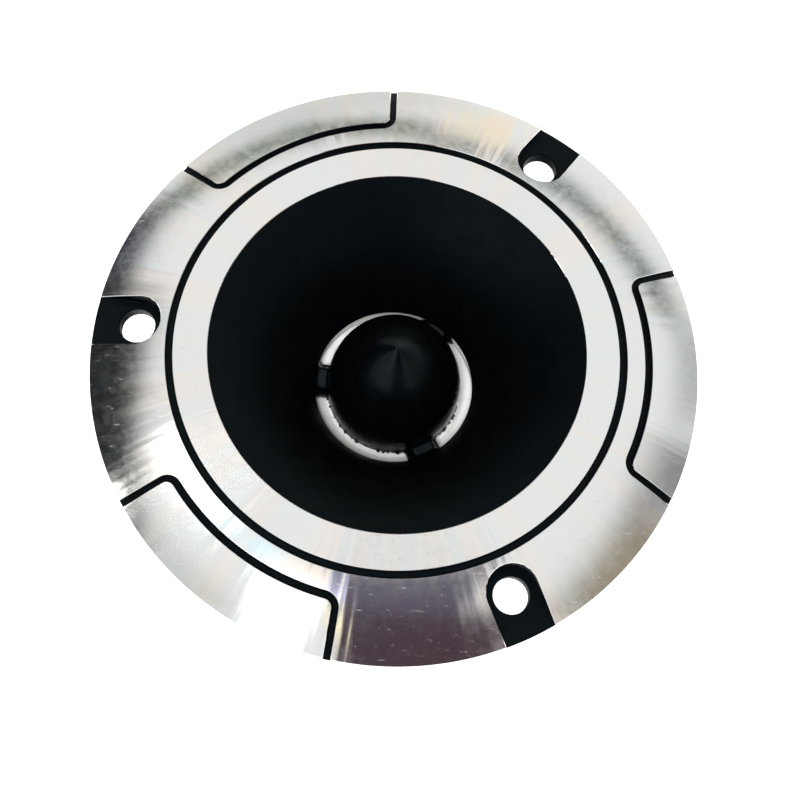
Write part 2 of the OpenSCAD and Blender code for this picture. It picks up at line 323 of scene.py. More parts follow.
def window_outline(side):
    """A window's groove line, moved out by side, as an open line that starts and ends past the rim."""
    corner_steps, leg_steps, arc_steps = 10, 12, 40
    r = WINDOW_R + GROOVE_W / 2 - side
    corner = WINDOW_CORNER + side
    rim_a = WINDOW_HALF + math.asin(side / FLANGE_R)
    corner_a = rim_a - math.asin(corner / (r + corner)) - LEG_DRIFT
    centre = ((r + corner) * math.cos(corner_a), (r + corner) * math.sin(corner_a))
    rounded = arc(*centre, corner, corner_a + math.pi / 2, corner_a + math.pi, corner_steps)
    past = FLANGE_R + PAST_RIM
    start = (past * math.cos(rim_a), past * math.sin(rim_a))
    leg = [
        (start[0] + (rounded[0][0] - start[0]) * i / leg_steps,
         start[1] + (rounded[0][1] - start[1]) * i / leg_steps)
        for i in range(leg_steps)
    ]
    half = leg + rounded
    middle = arc(0, 0, r, corner_a, -corner_a, arc_steps)[1:-1]
    return half + middle + [(x, -y) for x, y in reversed(half)]


def recess_outline(grow):
    """A recess's outline, grown on all sides, as an open line that starts and ends past the rim."""
    side_steps, end_steps = 12, 28
    half = RECESS_HALF + grow
    past = FLANGE_R + PAST_RIM
    side = [(past + (RECESS_AT - past) * i / side_steps, half) for i in range(side_steps)]
    end = arc(RECESS_AT, 0, half, math.pi / 2, 3 * math.pi / 2, end_steps)
    return side + end + [(x, -y) for x, y in reversed(side)]


def inside(point, outline):
    x, y = point
    hit = False
    for (x0, y0), (x1, y1) in zip(outline, outline[1:] + outline[:1]):
        if (y0 > y) != (y1 > y) and x < (x1 - x0) * (y - y0) / (y1 - y0) + x0:
            hit = not hit
    return hit


WINDOW_OUT = window_outline(GROOVE_W / 2)
WINDOW_IN = window_outline(-GROOVE_W / 2)
RECESS = recess_outline(0)


def front_region(x, y):
    """Which level of the front a point is on."""
    r = math.hypot(x, y)
    if r < MOUTH_R or r > FLANGE_R:
        return None
    if GROOVE_IN < r < GROOVE_OUT:
        return "groove"
    if r < GROOVE_OUT:
        return "face"
    sector = round(math.atan2(y, x) / SIXTH) % 6
    px, py = turn((x, y), -sector * SIXTH)
    if sector % 2:
        if math.hypot(px - HOLE_AT, py) < HOLE_R:
            return None
        return "recess" if inside((px, py), RECESS) else "face"
    if inside((px, py), WINDOW_OUT) and not inside((px, py), WINDOW_IN):
        return "groove"
    return "face"


def back_region(x, y):
    """Whether a point is on the flat back of the flange."""
    slivers = 0.05
    r = math.hypot(x, y)
    if r < BODY_R or r > BACK_R - slivers:
        return None
    for a in THIRDS:
        if math.hypot(x - HOLE_AT * math.cos(a), y - HOLE_AT * math.sin(a)) < HOLE_R:
            return None
    return "back"


def region_height(region, x, y):
    """Height of a level of the front over a point."""
    if region == "recess":
        return RECESS_Z
    height = face_height(math.hypot(x, y))
    return height - GROOVE_DEPTH if region == "groove" else height


# -------- the casting
def hole_circle(angle, radius):
    """A circle round the mounting hole at an angle."""
    return circle_points(radius, HOLE_AT * math.cos(angle), HOLE_AT * math.sin(angle), HOLE_STEPS)


def front_loops():
    """Closed edges of the front: rings and holes, each with the line where its bevel or fillet ends."""
    radii = (MOUTH_R, MOUTH_R + EDGE, GROOVE_IN - EDGE, GROOVE_IN, GROOVE_IN + FLOOR_FILLET,
             GROOVE_OUT - FLOOR_FILLET, GROOVE_OUT, GROOVE_OUT + EDGE, FLANGE_R - EDGE, FLANGE_R)
    loops = [circle_points(r) for r in radii]
    for a in THIRDS:
        loops += [hole_circle(a, HOLE_R), hole_circle(a, HOLE_R + HOLE_CHAMFER)]
    return loops


def front_lines():
    """Open edges of the front: the windows' grooves and the recesses, which run out past the rim."""
    half = GROOVE_W / 2
    sides = (half, half + EDGE, half - FLOOR_FILLET, FLOOR_FILLET - half, -half, -half - EDGE)
    grows = (0, EDGE, -FLOOR_FILLET)
    lines = [[turn(p, a) for p in window_outline(side)] for a in WINDOWS for side in sides]
    return lines + [[turn(p, a) for p in recess_outline(grow)] for a in THIRDS for grow in grows]


def front_grid():
    """Points between the edges, so that the bright face follows its curve."""
    land_row, first, row, left_out = 1.9, 0.6, 0.75, 0.8
    rows = [MOUTH_R + land_row, MOUTH_R + 2 * land_row]
    rows += [GROOVE_OUT + first + row * i for i in range(int((face_run - left_out) / row))]
    grid = []
    for n, r in enumerate(rows):
        grid += [turn(p, math.pi / TURNS * (n % 2)) for p in circle_points(r)]
    return grid


BRIGHT_LOOK = 0
PAINTED_LOOK = 1


class Skin:
    """The casting's skin as it grows: points, faces, and the look of each face."""

    def __init__(self, verts, kept):
        self.verts, self.kept = verts, kept
        self.points, self.faces, self.look = [], [], []
        self.ids, self.plain, self.rim_edges = {}, set(), []
        self.regions_at, self.edge_faces = {}, {}
        for face, region in kept:
            for v in face:
                self.regions_at.setdefault(v, set()).add(region)
            for a, b in zip(face, face[1:] + face[:1]):
                self.edge_faces.setdefault((min(a, b), max(a, b)), []).append(((a, b), region))
        self.open_edges = [f[0] for f in self.edge_faces.values() if len(f) == 1]
        self.on_open = {v for edge, _ in self.open_edges for v in edge}

    def add(self, face, look=PAINTED_LOOK):
        self.faces.append(face)
        self.look.append(look)

    def on_border(self, v):
        return len(self.regions_at[v]) > 1 or v in self.on_open

    def on_level(self, region, v):
        """The index of a vertex on a level; at the level's border it makes the bevel or the fillet."""
        key = (region, v)
        if key not in self.ids:
            x, y = self.verts[v]
            z = region_height(region, x, y)
            if region == "face" and self.on_border(v):
                z -= EDGE
            if region != "face" and len(self.regions_at[v]) > 1:
                z += FILLET_RISE
            if region == "recess" and v in self.on_open and math.hypot(x, y) < FLANGE_R - TOUCH:
                z -= HOLE_CHAMFER
            self.ids[key] = len(self.points)
            self.points.append((x, y, z))
        return self.ids[key]

    def below(self, v, z, scale=1.0):
        """The index of a vertex moved down to height z, and towards the axis by scale."""
        key = (round(z, 4), v)
        if key not in self.ids:
            x, y = self.verts[v]
            self.ids[key] = len(self.points)
            self.points.append((x * scale, y * scale, z))
        return self.ids[key]

    def steps_below(self, region, v):
        """Points on the rim's wall under a level, where a recess or groove opens there."""
        top = self.points[self.on_level(region, v)][2]
        lower = [self.on_level(other, v) for other in self.regions_at[v] if other != region]
        lower = [n for n in lower if self.points[n][2] < top]
        return sorted(lower, key=lambda n: -self.points[n][2])

    def add_front(self):
        """The levels of the front, and the walls between them."""
        for face, region in self.kept:
            bright = region == "face"
            self.add([self.on_level(region, v) for v in face], BRIGHT_LOOK if bright else PAINTED_LOOK)
            if bright and not any(self.on_border(v) for v in face):
                self.plain.add(len(self.faces) - 1)
        for pair in self.edge_faces.values():
            if len(pair) == 2 and pair[0][1] != pair[1][1]:
                ((a, b), region), (_, other) = pair
                self.add([self.on_level(region, b), self.on_level(region, a),
                          self.on_level(other, a), self.on_level(other, b)])

    def add_rim_wall(self, region, a, b):
        """One strip of the rim's wall, with the bevel under it."""
        low = EDGE * 2
        self.add([self.on_level(region, b), self.on_level(region, a), *self.steps_below(region, a),
                  self.below(a, low), self.below(b, low), *reversed(self.steps_below(region, b))])
        self.add([self.below(b, low), self.below(a, low),
                  self.below(a, 0, BACK_SCALE), self.below(b, 0, BACK_SCALE)])
        self.rim_edges.append((a, b))

    def add_walls(self):
        """The walls of the rim and of the holes; the flare starts at the mouth's edge."""
        for (a, b), region in self.open_edges:
            r = math.hypot(*self.verts[a])
            if r > FLANGE_R - TOUCH:
                self.add_rim_wall(region, a, b)
            elif r >= MOUTH_R + TOUCH:
                self.add([self.on_level(region, b), self.on_level(region, a),
                          self.below(a, 0), self.below(b, 0)])

    def add_back(self):
        """The flat back of the flange, between the rim and the body."""
        rim = [self.verts[v] for v in dict.fromkeys(v for e in self.rim_edges for v in e)]
        rim.sort(key=lambda p: math.atan2(p[1], p[0]))
        rim = [(x * BACK_SCALE, y * BACK_SCALE) for x, y in rim]
        loops = [rim, circle_points(BODY_R)] + [hole_circle(a, HOLE_R) for a in THIRDS]
        verts, kept = triangulate(loops, [], [], back_region)
        base = len(self.points)
        self.points += [(x, y, 0.0) for x, y in verts]
        for face, _ in kept:
            self.add([base + v for v in reversed(face)])

    def add_inside(self):
        """The flare, the seats behind it and the outside of the body, all turned about the axis."""
        profile = flare_profile() + body_profile()
        rings = [[len(self.points) + i + n * TURNS for i in range(TURNS)] for n in range(len(profile))]
        for r, z in profile:
            self.points += [(x, y, z) for x, y in circle_points(r)]
        for high, low in zip(rings, rings[1:]):
            for i in range(TURNS):
                j = (i + 1) % TURNS
                self.add([high[i], high[j], low[j], low[i]])


def build_horn():
    """The casting: front, rim, back of the flange, flare and body."""
    sharp = 28
    skin = Skin(*triangulate(front_loops(), front_lines(), front_grid(), front_region))
    skin.add_front()
    skin.add_walls()
    skin.add_back()
    skin.add_inside()
    mesh = mesh_from("horn_casting", skin.points, skin.faces)
    obj = make_object("horn_casting", mesh)
    for poly, look in zip(mesh.polygons, skin.look):
        poly.material_index = look
    tags = mesh.attributes.new("plain_face", "BOOLEAN", "FACE")
    tags.data.foreach_set("value", [n in skin.plain for n in range(len(mesh.polygons))])
    fix_normals(obj)
    combine(obj, body_cutters(), "DIFFERENCE")
    smooth(obj, sharp)
    set_face_normals(obj)
    return obj


def set_face_normals(obj):
    """Gives the bright face its true surface normals, so that its reflections run smoothly."""
    mesh = obj.data
    plain = mesh.attributes["plain_face"].data
    normals = [(0.0, 0.0, 0.0)] * len(mesh.loops)
    for poly in mesh.polygons:
        if plain[poly.index].value:
            for loop in poly.loop_indices:
                co = mesh.vertices[mesh.loops[loop].vertex_index].co
                normals[loop] = face_normal(co.x / MM, co.y / MM)
    mesh.normals_split_custom_set(normals)
    mesh.attributes.remove(mesh.attributes["plain_face"])


def flare_profile():
    """From the mouth's edge down the flare to the throat."""
    steps = 40
    run, fall = MOUTH_R - THROAT_R, MOUTH_Z - EDGE - THROAT_Z
    bend = 2 * (math.atan2(run, fall) - THROAT_ANGLE)
    radius = math.hypot(run, fall) / (2 * math.sin(bend / 2))
    centre_r = THROAT_R + radius * math.cos(THROAT_ANGLE)
    centre_z = THROAT_Z - radius * math.sin(THROAT_ANGLE)
    first = math.pi - THROAT_ANGLE - bend
    return arc(centre_r, centre_z, radius, first, math.pi - THROAT_ANGLE, steps)


def body_profile():
    """From the throat's lip round the plug's seat and the hollow, then up the outside to the flange."""
    bevel, lip_out, lip_drop = 0.3, 0.02, 0.12
    return [
        (THROAT_R + lip_out, THROAT_Z - lip_drop), (THROAT_R + THROAT_UNDERCUT, SEAT_Z),
        (SEAT_R, SEAT_Z), (SEAT_R, HORN_BACK_Z),
        (HOLLOW_R, HORN_BACK_Z), (HOLLOW_R, HOLLOW_Z), (RING_SEAT_R, HOLLOW_Z),
        (RING_SEAT_R, PLATE_Z + bevel), (RING_SEAT_R + bevel, PLATE_Z), (BODY_R - bevel, PLATE_Z),
        (BODY_R, PLATE_Z + bevel), (BODY_R, 0),
    ]


def body_cutters():
    """The notch for the terminals, and the holes for the motor screws."""
    half, notch_x, notch_h, depth, past_body = 10.3, 27.3, 3.1, 8.9, 5
    out = BODY_R + past_body
    notch = prism("notch", [(notch_x, -half), (out, -half), (out, half), (notch_x, half)],
                  PLATE_Z - PAST_CUT, PLATE_Z + notch_h)
    cutters = [notch]
    for a in THIRDS:
        hole = circle_points(SCREW_R, SCREW_AT * math.cos(a), SCREW_AT * math.sin(a), SCREW_STEPS)
        cutters.append(prism("screw_hole", hole, PLATE_Z - PAST_CUT, PLATE_Z + depth))
    return cutters


# -------- the phase plug
PLUG_R = 12.4
PLUG_SIDE_Z = THROAT_Z + 0.2
PLUG_FOOT_Z = SEAT_Z - 1.5
PLUG_RING_R = 16.0
# How far the ring and the webs reach into the plug
PLUG_JOIN = 0.5
RING_JOIN = 1.5
WEB_Z = SEAT_Z - 1.3
WEB_TOP_Z = THROAT_Z + 0.1
WEB_HALF = 3.1
CREST_HALF = 1.9
# Gap between the plug's ring or webs and the casting
FIT = 0.02


def plug_profile():
    """From the point down the ogive and the side to the foot, then up the hollow under it."""
    ogive_steps = 48
    tip_z = plug_high.z / MM
    rise = tip_z - PLUG_SIDE_Z
    radius = (PLUG_R ** 2 + rise ** 2) / (2 * PLUG_R)
    tip_a = math.asin(rise / radius)
    ogive = arc(PLUG_R - radius, PLUG_SIDE_Z, radius, tip_a, 0, ogive_steps)
    ogive[0] = (0.0, tip_z)
    neck, foot_bevel, first_drop, drop = 0.05, 0.2, 0.4, 0.2
    side = [(PLUG_R, SEAT_Z + 0.8), (PLUG_R, SEAT_Z + 0.1)]
    side += [(PLUG_R - neck, SEAT_Z - first_drop - drop * i) for i in range(4)]
    side += [(PLUG_R - foot_bevel, PLUG_FOOT_Z)]
    hollow = [(11.2, PLUG_FOOT_Z), (8, -16.6), (4, -15.6), (0, -15.3)]
    return ogive + side + hollow


def slot_outline():
    """One slot between two webs, with rounded corners at its outer ends."""
    past_ring, corner, corner_steps, arc_steps = 0.06, 0.8, 8, 60
    inner, outer = PLUG_R - PLUG_JOIN, PLUG_RING_R + past_ring
    a = SIXTH - math.asin((WEB_HALF + corner) / (outer - corner))
    centre = ((outer - corner) * math.cos(a), (outer - corner) * math.sin(a))
    corner_arc = arc(*centre, corner, a, a + math.pi / 2, corner_steps)
    outer_arc = arc(0, 0, outer, -a, a, arc_steps)[1:-1]
    b = SIXTH - math.asin(WEB_HALF / inner)
    inner_arc = arc(0, 0, inner, b, -b, arc_steps)
    return outer_arc + corner_arc + inner_arc + [(x, -y) for x, y in reversed(corner_arc)]


def web_top(angle, along, across):
    """The top of a web, row by row from the plug to the throat; it widens in a fillet at both ends."""
    fillet, widen, lift = 0.9, 0.8, 0.7
    side_gap, shoulder_drop, crest_drop = 0.05, 1.75, 0.3
    shoulder_in, shoulder_out = CREST_HALF - 0.35, WEB_HALF + 0.25
    inner, outer = PLUG_R - PLUG_JOIN, THROAT_R - FIT
    plug_fillet = fillet * 0.7
    points = []
    for i in range(along + 1):
        r = inner + (outer - inner) * i / along
        near = max(0.0, (r - (outer - fillet)) / fillet, ((PLUG_R + plug_fillet) - r) / plug_fillet)
        near = min(near, 1.0)
        spread = fillet * widen * (1 - math.sqrt(1 - near * near))
        half = WEB_HALF + side_gap + spread
        for j in range(across + 1):
            s = half * (2 * j / across - 1)
            drop = shoulder_drop * ease(abs(s) - spread, shoulder_in, shoulder_out)
            z = WEB_TOP_Z - crest_drop - drop + spread * lift
            points.append((*turn((math.sqrt(r * r - s * s), s), angle), z))
    return points


def build_web(angle):
    """A web's upper part: a flat crest with round shoulders, between the plug and the throat."""
    along, across, above_ring = 22, 28, 0.11
    points = web_top(angle, along, across)
    rows = across + 1
    top = len(points)
    points += [(x, y, WEB_Z + above_ring) for x, y, _ in points]
    faces = []
    for i in range(along):
        for j in range(across):
            a = i * rows + j
            quad = [a, a + 1, a + rows + 1, a + rows]
            faces += [quad, [top + v for v in reversed(quad)]]
    rim = list(range(rows)) + [i * rows + across for i in range(1, along + 1)]
    rim += [along * rows + j for j in range(across - 1, -1, -1)] + [i * rows for i in range(along - 1, 0, -1)]
    for a, b in zip(rim, rim[1:] + rim[:1]):
        faces.append([a, b, top + b, top + a])
    return fix_normals(make_object("web", mesh_from("web", points, faces)))


def roughen_foot(obj):
    """Runs of paint and flash hang along the foot of the plug."""
    film, run_size, run_from, fade = 0.1, 0.6, 0.05, 0.6
    top_z, skin_depth = SEAT_Z + 0.2, 0.3
    lumps_round, lumps_z, beads_round, beads_along, bead_share = 19, 0.3, 47, 1.5, 0.8
    for vertex in obj.data.vertices:
        x, y, z = (c / MM for c in vertex.co)
        r = math.hypot(x, y)
        if r < PLUG_R - skin_depth or z > top_z or r > PLUG_R + TOUCH:
            continue
        a = math.atan2(y, x)
        lump = noise.noise(Vector((math.cos(a) * lumps_round, math.sin(a) * lumps_round, lumps_z)))
        beads = Vector((math.cos(a) * beads_round, math.sin(a) * beads_round, z * beads_along))
        lump += bead_share * noise.noise(beads)
        grow = (film + max(0.0, lump - run_from) * run_size) * ease(top_z - z, 0, fade)
        vertex.co.x *= 1 + grow / r
        vertex.co.y *= 1 + grow / r


def build_plug():
    """The bullet, its three webs and the ring that seats it."""
    sharp = 35
    plug = lathe("phase_plug_body", plug_profile(), PLUG_STEPS, closed=False)
    roughen_foot(plug)
    out, inner = SEAT_R - FIT, PLUG_R - RING_JOIN
    ring = lathe("plug_ring", [
        (inner, WEB_Z), (PLUG_RING_R, WEB_Z), (PLUG_RING_R, HORN_BACK_Z + FIT), (out, HORN_BACK_Z + FIT),
        (out, SEAT_Z - FIT), (inner, SEAT_Z - FIT),
    ], PLUG_RING_STEPS)
    slots = [[turn(p, a) for p in slot_outline()] for a in WINDOWS]
    cutters = [prism("slot", slot, WEB_Z - PAST_CUT, SEAT_Z + PAST_CUT) for slot in slots]
    combine(ring, cutters, "DIFFERENCE")
    combine(plug, [ring] + [build_web(a) for a in THIRDS], "UNION")
    return smooth(plug, sharp)


# -------- the surround, which shows under the plug
def roll_line(crest_r, low, inward, outward, rise, lift):
    """A roll from its foot by the dome, over the crest, to its outer end; lift is the angle left out."""
    steps = 30
    line = arc(0, 0, 1, math.pi - lift, lift, steps)
    return [(crest_r + c * (inward if c < 0 else outward), low + s * rise) for c, s in line]


def lip_line(skirt_r, low):
    """The surround's lip, glued over the edge of the dome: along the dome inwards, and back above it."""
    dome_r, lip_in, glue, above, steps = 21.6, 11.6, 0.02, 0.14, 6
    dome_edge_r = 12.8
    centre_z = low - math.sqrt(dome_r ** 2 - dome_edge_r ** 2)
    inner, outer = math.acos(lip_in / dome_r), math.acos(skirt_r / (dome_r + above))
    under = arc(0, centre_z, dome_r + glue, outer, inner, steps)
    return under + arc(0, centre_z, dome_r + above, inner, outer, steps)


def build_surround():
    """The roll, cut round the axis into sectors."""
    sectors, sharp = 12, 40
    skirt_r, thick = 12.82, 0.22
    foot_r, crest_r, end_r = 12.95, 15.05, 15.65
    top_lift, under_lift = 0.19, 0.02
    low, high = surround_low.z / MM, surround_high.z / MM
    rise = high - low
    out = surround_high.x / MM
    inward, outward = crest_r - foot_r, end_r - crest_r
    top = roll_line(crest_r, low, inward, outward, rise, top_lift)
    under = roll_line(crest_r, low, inward - thick, outward - thick, rise - thick, under_lift)[::-1]
    profile = lip_line(skirt_r, low) + top + [(out, low + thick), (out, low)] + under
    pieces = []
    for n in range(sectors):
        a, b = 2 * math.pi * n / sectors, 2 * math.pi * (n + 1) / sectors
        piece = lathe(f"surround_{n + 1:02d}", profile, TURNS // sectors, a, b)
        smooth(piece, sharp)
        pieces.append((piece, (a + b) / 2, skirt_r, end_r, low))
    return pieces


# -------- materials
class Nodes:
    """Small wrapper round a node tree."""

    def __init__(self, tree):
        self.tree = tree

    def add(self, kind, **settings):
        node = self.tree.nodes.new(kind)
        for key, value in settings.items():
            setattr(node, key, value)
        return node

    def link(self, source, target):
        self.tree.links.new(source, target)

    def math(self, operation, a, b=None):
        """One operation on numbers or outputs of nodes."""
        node = self.add("ShaderNodeMath", operation=operation)
        for n, value in enumerate((a, b)):
            if value is None:
                continue
            if isinstance(value, (int, float)):
                node.inputs[n].default_value = value
            else:
                self.link(value, node.inputs[n])
        return node.outputs[0]

    def ramp(self, value, low, high, out_low=0.0, out_high=1.0):
        """Eases from out_low to out_high while the value goes from low to high."""
        node = self.add("ShaderNodeMapRange")
        node.interpolation_type = "SMOOTHSTEP"
        self.link(value, node.inputs["Value"])
        node.inputs["From Min"].default_value = low
        node.inputs["From Max"].default_value = high
        node.inputs["To Min"].default_value = out_low
        node.inputs["To Max"].default_value = out_high
        return node.outputs[0]

    def mix(self, factor, a, b):
        """A blend of two colours, each a triple or an output."""
        node = self.add("ShaderNodeMix", data_type="RGBA")
        self.link(factor, node.inputs[0])
        for slot, value in ((6, a), (7, b)):
            if isinstance(value, tuple):
                node.inputs[slot].default_value = (*value, 1.0)
            else:
                self.link(value, node.inputs[slot])
        return node.outputs[2]

    def noise(self, vector, scale, detail=3.0, rough=0.5):
        node = self.add("ShaderNodeTexNoise", noise_dimensions="3D")
        self.link(vector, node.inputs["Vector"])
        node.inputs["Scale"].default_value = scale
        node.inputs["Detail"].default_value = detail
        node.inputs["Roughness"].default_value = rough
        return node.outputs["Fac"]

    def rings(self, radius, scale):
        """Noise that changes with the radius only: the rings left by a lathe."""
        node = self.add("ShaderNodeTexNoise", noise_dimensions="1D")
        self.link(radius, node.inputs["W"])
        node.inputs["Scale"].default_value = scale
        return node.outputs["Fac"]

    def pits(self, vector, scale, size):
        """1 on the surface, falling to 0 in round pits; their size is a part of their spacing."""
        node = self.add("ShaderNodeTexVoronoi")
        self.link(vector, node.inputs["Vector"])
        node.inputs["Scale"].default_value = scale
        return self.ramp(node.outputs["Distance"], 0.0, size)

    def stretched(self, vector, scale, degrees=0.0):
        """Coordinates turned about Z and scaled, for noise that is longer one way."""
        node = self.add("ShaderNodeMapping")
        self.link(vector, node.inputs[0])
        node.inputs["Rotation"].default_value = (0, 0, math.radians(degrees))
        node.inputs["Scale"].default_value = scale
        return node.outputs[0]

    def bump(self, height, distance, strength=1.0):
        node = self.add("ShaderNodeBump")
        self.link(height, node.inputs["Height"])
        node.inputs["Distance"].default_value = distance
        node.inputs["Strength"].default_value = strength
        return node.outputs[0]

    def polar(self, vector):
        """x, y and z of a vector, and its distance from the Z axis."""
        node = self.add("ShaderNodeSeparateXYZ")
        self.link(vector, node.inputs[0])
        x, y, z = node.outputs
        squares = self.math("ADD", self.math("MULTIPLY", x, x), self.math("MULTIPLY", y, y))
        return x, y, z, self.math("SQRT", squares)


def material(name, color, roughness, metallic=0.0):
    mat = bpy.data.materials.new(name)
    mat.use_nodes = True
    nodes = Nodes(mat.node_tree)
    shader = mat.node_tree.nodes["Principled BSDF"]
    shader.inputs["Base Color"].default_value = (*color, 1.0)
    shader.inputs["Roughness"].default_value = roughness
    shader.inputs["Metallic"].default_value = metallic
    return mat, nodes, shader


def object_coords(nodes):
    return nodes.add("ShaderNodeTexCoord").outputs["Object"]


def worn_roughness(nodes, coords):
    """Roughness of the turned face: faint scuffs, slanting hairlines and small specks."""
    scuffs = nodes.noise(coords, scale=700.0, detail=4.0, rough=0.7)
    slanted = nodes.stretched(coords, (1.0, 7.0, 1.0), degrees=-28)
    scratches = nodes.noise(slanted, scale=420.0, detail=3.0, rough=0.6)
    hairlines = nodes.ramp(scratches, 0.64, 0.74, out_low=0.0, out_high=0.16)
    specks = nodes.ramp(nodes.noise(coords, scale=2100.0, detail=2.0), 0.72, 0.8, out_low=0.0, out_high=0.3)
    even = nodes.ramp(scuffs, 0.35, 0.7, out_low=0.11, out_high=0.15)
    return nodes.math("ADD", even, nodes.math("ADD", hairlines, specks))


def turned_aluminium():
    """Fine turned rings spread its reflections along the radius and keep them sharp across it."""
    chatter_height, ring_height, along_radius = 0.05, 0.0015, 1.5
    # warm and cool are the two ends of a painted diffraction tint
    warm, cool = (0.93, 0.9, 0.87), (0.88, 0.91, 0.92)
    mat, nodes, shader = material("turned_aluminium", (0.9, 0.9, 0.89), roughness=0.2, metallic=1.0)
    shader.inputs["Anisotropic"].default_value = 1.0
    shader.inputs["Anisotropic Rotation"].default_value = 0.25
    tangent = nodes.add("ShaderNodeTangent", direction_type="RADIAL", axis="Z")
    nodes.link(tangent.outputs[0], shader.inputs["Tangent"])
    coords = object_coords(nodes)
    x, y, _, radius = nodes.polar(coords)
    around = nodes.add("ShaderNodeCombineXYZ")
    nodes.link(nodes.math("DIVIDE", x, radius), around.inputs[0])
    nodes.link(nodes.math("DIVIDE", y, radius), around.inputs[1])
    nodes.link(nodes.math("MULTIPLY", radius, along_radius), around.inputs[2])
    chatter = nodes.noise(around.outputs[0], scale=20.0, detail=1.4)
    rings = nodes.rings(radius, scale=9000.0)
    height = nodes.math("ADD", nodes.math("MULTIPLY", chatter, chatter_height),
                        nodes.math("MULTIPLY", rings, ring_height))
    nodes.link(nodes.bump(height, distance=0.001), shader.inputs["Normal"])
    nodes.link(worn_roughness(nodes, coords), shader.inputs["Roughness"])
    # The base colour shifts between warm and cool round the axis: painted diffraction colour of the turned
    # rings.
    painted_diffraction_tint = nodes.noise(around.outputs[0], scale=9.0, detail=2.0)
    nodes.link(nodes.mix(nodes.ramp(painted_diffraction_tint, 0.35, 0.6), warm, cool), shader.inputs["Base Color"])
    return mat


def black_paint(name, gloss, smoothest, roughest):
    """Powder paint: gloss is its specular level, and the last two are the limits of its roughness."""
    blue_black, sheen = (0.0003, 0.0006, 0.0009), (0.66, 0.88, 1.0, 1.0)
    mat, nodes, shader = material(name, blue_black, smoothest)
    shader.inputs["Specular IOR Level"].default_value = gloss
    shader.inputs["Specular Tint"].default_value = sheen
    coords = object_coords(nodes)
    grain = nodes.noise(coords, scale=2600.0, detail=4.0, rough=0.6)
    nodes.link(nodes.bump(grain, distance=0.00006, strength=0.5), shader.inputs["Normal"])
    patches = nodes.ramp(nodes.noise(coords, scale=300.0), 0.3, 0.7, smoothest, roughest)
    nodes.link(patches, shader.inputs["Roughness"])
    return mat


def surround_film():
    """Translucent cream film, which glows a little where light falls on it."""
    mat, nodes, shader = material("surround_film", (0.88, 0.865, 0.81), roughness=0.35)
    shader.inputs["Subsurface Weight"].default_value = 0.7
    shader.inputs["Subsurface Radius"].default_value = (1.0, 0.95, 0.85)
    shader.inputs["Subsurface Scale"].default_value = 0.0012
    weave = nodes.noise(object_coords(nodes), scale=900.0, detail=2.0)
    nodes.link(nodes.bump(weave, distance=0.00005, strength=0.2), shader.inputs["Normal"])
    return mat


def zinc_plate():
    """Zinc on turned steel: faint rings, a fine mottle, and duller patches where it has been handled."""
    clean, handled = (0.63, 0.64, 0.66), (0.56, 0.56, 0.53)
    mat, nodes, shader = material("zinc_plate", (0.62, 0.63, 0.64), roughness=0.34, metallic=1.0)
    coords = object_coords(nodes)
    rings = nodes.rings(nodes.polar(coords)[3], scale=3500.0)
    mottle = nodes.noise(coords, scale=1400.0, detail=4.0, rough=0.7)
    height = nodes.math("ADD", nodes.math("MULTIPLY", rings, 0.6), mottle)
    nodes.link(nodes.bump(height, distance=0.00002, strength=0.6), shader.inputs["Normal"])
    patches = nodes.ramp(nodes.noise(coords, scale=220.0, detail=5.0, rough=0.65), 0.4, 0.7)
    nodes.link(nodes.ramp(patches, 0.0, 1.0, out_low=0.3, out_high=0.42), shader.inputs["Roughness"])
    nodes.link(nodes.mix(patches, clean, handled), shader.inputs["Base Color"])
    return mat


def ferrite():
    """Ground ceramic: dark grey, with pits, fine grinding marks and paler rubbed patches."""
    ground, pale = (0.034, 0.034, 0.038), (0.075, 0.074, 0.073)
    mat, nodes, shader = material("ferrite", (0.04, 0.04, 0.044), roughness=0.5)
    coords = object_coords(nodes)
    pits = nodes.pits(coords, scale=900.0, size=0.22)
    lengthwise = nodes.stretched(coords, (1.0, 9.0, 9.0))
    marks = nodes.noise(lengthwise, scale=500.0, detail=3.0, rough=0.6)
    height = nodes.math("ADD", pits, nodes.math("MULTIPLY", marks, 0.5))
    nodes.link(nodes.bump(height, distance=0.00005, strength=0.7), shader.inputs["Normal"])
    rubbed = nodes.ramp(nodes.noise(coords, scale=130.0, detail=5.0, rough=0.6), 0.45, 0.75)
    nodes.link(nodes.mix(rubbed, ground, pale), shader.inputs["Base Color"])
    nodes.link(nodes.ramp(rubbed, 0.0, 1.0, out_low=0.46, out_high=0.62), shader.inputs["Roughness"])
    return mat


def stranded_copper():
    """Bare copper strands that run round the wire, with darker oxide between them."""
    oxide, bare = (0.4, 0.16, 0.08), (0.78, 0.37, 0.19)
    mat, nodes, shader = material("copper", (0.72, 0.33, 0.16), roughness=0.34, metallic=1.0)
    coords = object_coords(nodes)
    strands = nodes.add("ShaderNodeTexWave", wave_type="BANDS", bands_direction="DIAGONAL")
    nodes.link(coords, strands.inputs["Vector"])
    strands.inputs["Scale"].default_value = 2600.0
    strands.inputs["Distortion"].default_value = 0.6
    strand = strands.outputs["Fac"]
    nodes.link(nodes.bump(strand, distance=0.00006, strength=0.8), shader.inputs["Normal"])
    nodes.link(nodes.mix(strand, oxide, bare), shader.inputs["Base Color"])
    dull = nodes.ramp(nodes.noise(coords, scale=900.0), 0.3, 0.7, out_low=0.28, out_high=0.42)
    nodes.link(dull, shader.inputs["Roughness"])
    return mat


